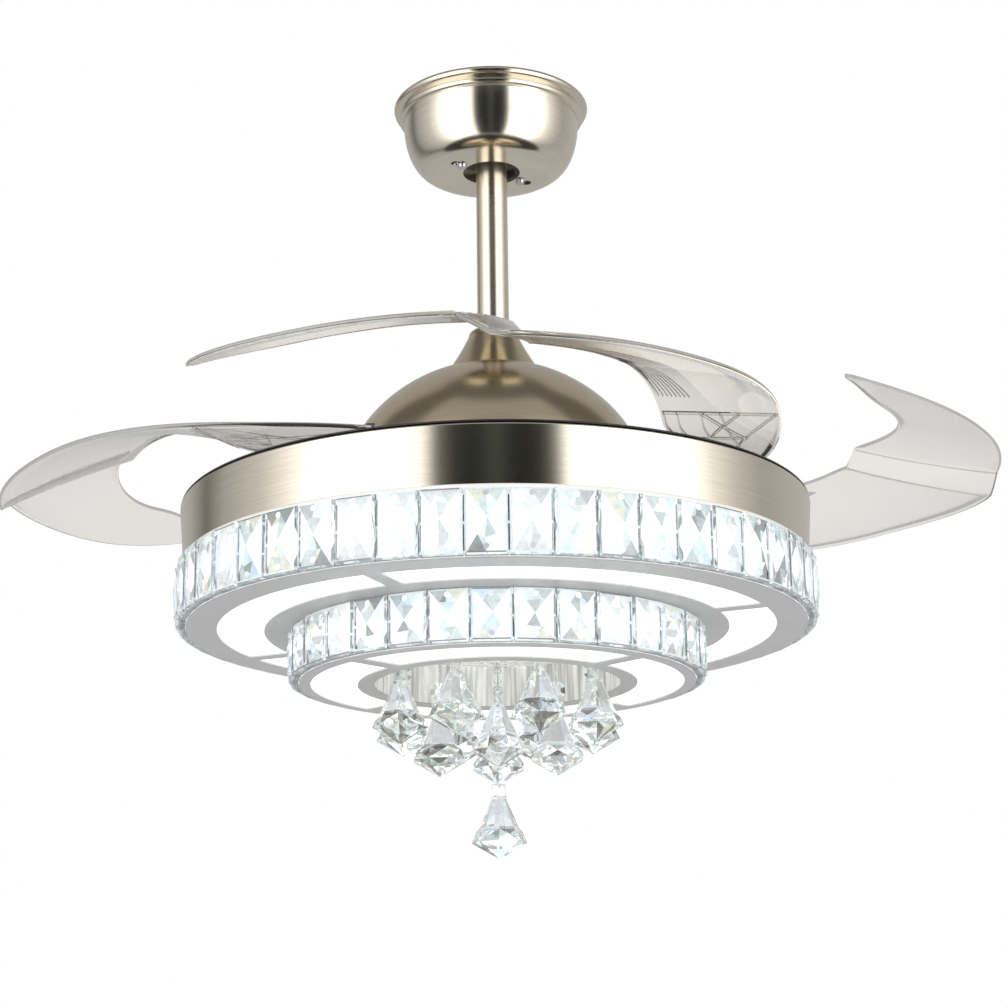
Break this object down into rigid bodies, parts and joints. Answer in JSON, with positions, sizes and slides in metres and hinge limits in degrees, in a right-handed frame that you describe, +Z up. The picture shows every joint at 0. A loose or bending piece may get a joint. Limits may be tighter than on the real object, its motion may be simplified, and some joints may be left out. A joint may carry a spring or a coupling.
{
  "type": "retractable blade ceiling fan with lamp",
  "caption": "Ceiling fan on a short down rod, with clear sickle blades that fold back over a round two-tier crystal lamp with hanging crystal drops",
  "frame": {"origin": "on the fan's axis, in the plane of the ceiling that the bracket is screwed to", "axes": "+Z points up out of the bracket into the ceiling; X and Y are level, and the bracket's two slots lie along X"},
  "size_m": [0.7846, 0.7846, 0.6199],
  "materials": {
    "zinc_steel": "satin",
    "brushed_nickel": "satin",
    "dark_nickel": "satin",
    "machined_steel": "satin",
    "bright_chrome": "polished",
    "white_nylon": "matte",
    "white_case": "matte",
    "silicon_steel": "satin",
    "enamelled_wire": "gloss",
    "magnet_black": "satin",
    "tray_black": "satin",
    "clear_blade": "polished",
    "white_paint": "satin",
    "lamp_board": "satin",
    "lit_pane": "satin",
    "trim_grey": "satin",
    "crystal": "polished"
  },
  "bodies": {
    "mount": {"ceiling_bracket": "zinc_steel", "canopy": "brushed_nickel", "canopy_screws": "machined_steel", "receiver_box": "white_case"},
    "seat_ring": {"ball_seat_ring": "white_nylon"},
    "hanging": {"hanger_ball": "machined_steel", "ball_pin": "machined_steel", "downrod": "brushed_nickel", "yoke_cover": "dark_nickel", "motor_yoke": "machined_steel", "yoke_pin": "machined_steel", "yoke_screws": "machined_steel", "motor_shaft": "machined_steel", "motor_dome": "dark_nickel", "stator_core": "silicon_steel", "stator_windings": "enamelled_wire", "bearings": "machined_steel", "lamp_pan": "white_paint", "shaft_nut": "machined_steel", "lamp_band": "brushed_nickel", "led_driver": "white_case", "upper_drum": "white_paint", "upper_reflector": "white_paint", "upper_led_board": "lamp_board", "upper_panes": "lit_pane", "upper_plate": "trim_grey", "upper_crystals": "crystal", "crystal_pins": "bright_chrome", "lower_drum": "white_paint", "lower_led_board": "lamp_board", "lower_panes": "lit_pane", "lower_plate": "trim_grey", "lower_crystals": "crystal", "recess_wall": "bright_chrome", "hook_plate": "trim_grey", "hook_eyes": "bright_chrome"},
    "rotor": {"rotor_bell": "machined_steel", "rotor_magnets": "magnet_black", "blade_tray": "tray_black", "pivot_posts": "machined_steel", "pivot_caps": "machined_steel", "return_springs": "machined_steel"},
    "blade_1_body": {"blade_1": "clear_blade"},
    "blade_2_body": {"blade_2": "clear_blade"},
    "blade_3_body": {"blade_3": "clear_blade"},
    "blade_4_body": {"blade_4": "clear_blade"},
    "outer_drop_1_body": {"outer_drop_1": "crystal"},
    "outer_drop_2_body": {"outer_drop_2": "crystal"},
    "outer_drop_3_body": {"outer_drop_3": "crystal"},
    "outer_drop_4_body": {"outer_drop_4": "crystal"},
    "outer_drop_5_body": {"outer_drop_5": "crystal"},
    "outer_drop_6_body": {"outer_drop_6": "crystal"},
    "outer_drop_7_body": {"outer_drop_7": "crystal"},
    "outer_drop_8_body": {"outer_drop_8": "crystal"},
    "inner_drop_1_body": {"inner_drop_1": "crystal"},
    "inner_drop_2_body": {"inner_drop_2": "crystal"},
    "inner_drop_3_body": {"inner_drop_3": "crystal"},
    "inner_drop_4_body": {"inner_drop_4": "crystal"},
    "centre_drop_body": {"centre_drop": "crystal"}
  },
  "joints": [
    {"name": "ring_lean", "type": "hinge", "parent": "mount", "child": "seat_ring", "pos_m": [0, 0, -0.027], "axis": [1, 0, 0], "range_deg": [-10, 10]},
    {"name": "ball_lean", "type": "hinge", "parent": "seat_ring", "child": "hanging", "pos_m": [0, 0, -0.027], "axis": [0, 1, 0], "range_deg": [-10, 10]},
    {"name": "rotor_spin", "type": "hinge", "parent": "hanging", "child": "rotor", "pos_m": [0, 0, -0.35], "axis": [0, 0, 1], "continuous": true},
    {"name": "blade_1_fold", "type": "hinge", "parent": "rotor", "child": "blade_1_body", "pos_m": [0.08853, 0.17375, -0.3381], "axis": [0, 0, -1], "range_deg": [0, 46]},
    {"name": "blade_2_fold", "type": "hinge", "parent": "rotor", "child": "blade_2_body", "pos_m": [0.17375, -0.08853, -0.3381], "axis": [0, 0, -1], "range_deg": [0, 46]},
    {"name": "blade_3_fold", "type": "hinge", "parent": "rotor", "child": "blade_3_body", "pos_m": [-0.08853, -0.17375, -0.3381], "axis": [0, 0, -1], "range_deg": [0, 46]},
    {"name": "blade_4_fold", "type": "hinge", "parent": "rotor", "child": "blade_4_body", "pos_m": [-0.17375, 0.08853, -0.3381], "axis": [0, 0, -1], "range_deg": [0, 46]},
    {"name": "outer_drop_1_swing", "type": "hinge", "parent": "hanging", "child": "outer_drop_1_body", "pos_m": [0.07391, 0.03061, -0.4617], "axis": [0.9239, 0.3827, 0], "range_deg": [-8, 8]},
    {"name": "outer_drop_2_swing", "type": "hinge", "parent": "hanging", "child": "outer_drop_2_body", "pos_m": [0.03061, 0.07391, -0.4617], "axis": [0.3827, 0.9239, 0], "range_deg": [-8, 8]},
    {"name": "outer_drop_3_swing", "type": "hinge", "parent": "hanging", "child": "outer_drop_3_body", "pos_m": [-0.03061, 0.07391, -0.4617], "axis": [-0.3827, 0.9239, 0], "range_deg": [-8, 8]},
    {"name": "outer_drop_4_swing", "type": "hinge", "parent": "hanging", "child": "outer_drop_4_body", "pos_m": [-0.07391, 0.03061, -0.4617], "axis": [-0.9239, 0.3827, 0], "range_deg": [-8, 8]},
    {"name": "outer_drop_5_swing", "type": "hinge", "parent": "hanging", "child": "outer_drop_5_body", "pos_m": [-0.07391, -0.03061, -0.4617], "axis": [-0.9239, -0.3827, 0], "range_deg": [-8, 8]},
    {"name": "outer_drop_6_swing", "type": "hinge", "parent": "hanging", "child": "outer_drop_6_body", "pos_m": [-0.03061, -0.07391, -0.4617], "axis": [-0.3827, -0.9239, 0], "range_deg": [-8, 8]},
    {"name": "outer_drop_7_swing", "type": "hinge", "parent": "hanging", "child": "outer_drop_7_body", "pos_m": [0.03061, -0.07391, -0.4617], "axis": [0.3827, -0.9239, 0], "range_deg": [-8, 8]},
    {"name": "outer_drop_8_swing", "type": "hinge", "parent": "hanging", "child": "outer_drop_8_body", "pos_m": [0.07391, -0.03061, -0.4617], "axis": [0.9239, -0.3827, 0], "range_deg": [-8, 8]},
    {"name": "inner_drop_1_swing", "type": "hinge", "parent": "hanging", "child": "inner_drop_1_body", "pos_m": [0.045, 0, -0.4617], "axis": [1, 0, 0], "range_deg": [-8, 8]},
    {"name": "inner_drop_2_swing", "type": "hinge", "parent": "hanging", "child": "inner_drop_2_body", "pos_m": [0, 0.045, -0.4617], "axis": [0, 1, 0], "range_deg": [-8, 8]},
    {"name": "inner_drop_3_swing", "type": "hinge", "parent": "hanging", "child": "inner_drop_3_body", "pos_m": [-0.045, 0, -0.4617], "axis": [-1, 0, 0], "range_deg": [-8, 8]},
    {"name": "inner_drop_4_swing", "type": "hinge", "parent": "hanging", "child": "inner_drop_4_body", "pos_m": [0, -0.045, -0.4617], "axis": [0, -1, 0], "range_deg": [-8, 8]},
    {"name": "centre_drop_swing", "type": "hinge", "parent": "hanging", "child": "centre_drop_body", "pos_m": [0, 0, -0.4617], "axis": [1, 0, 0], "range_deg": [-12, 12]}
  ],
  "couplings": [
    {"joint": "blade_2_fold", "follows": "blade_1_fold", "ratio": 1},
    {"joint": "blade_3_fold", "follows": "blade_1_fold", "ratio": 1},
    {"joint": "blade_4_fold", "follows": "blade_1_fold", "ratio": 1}
  ]
}
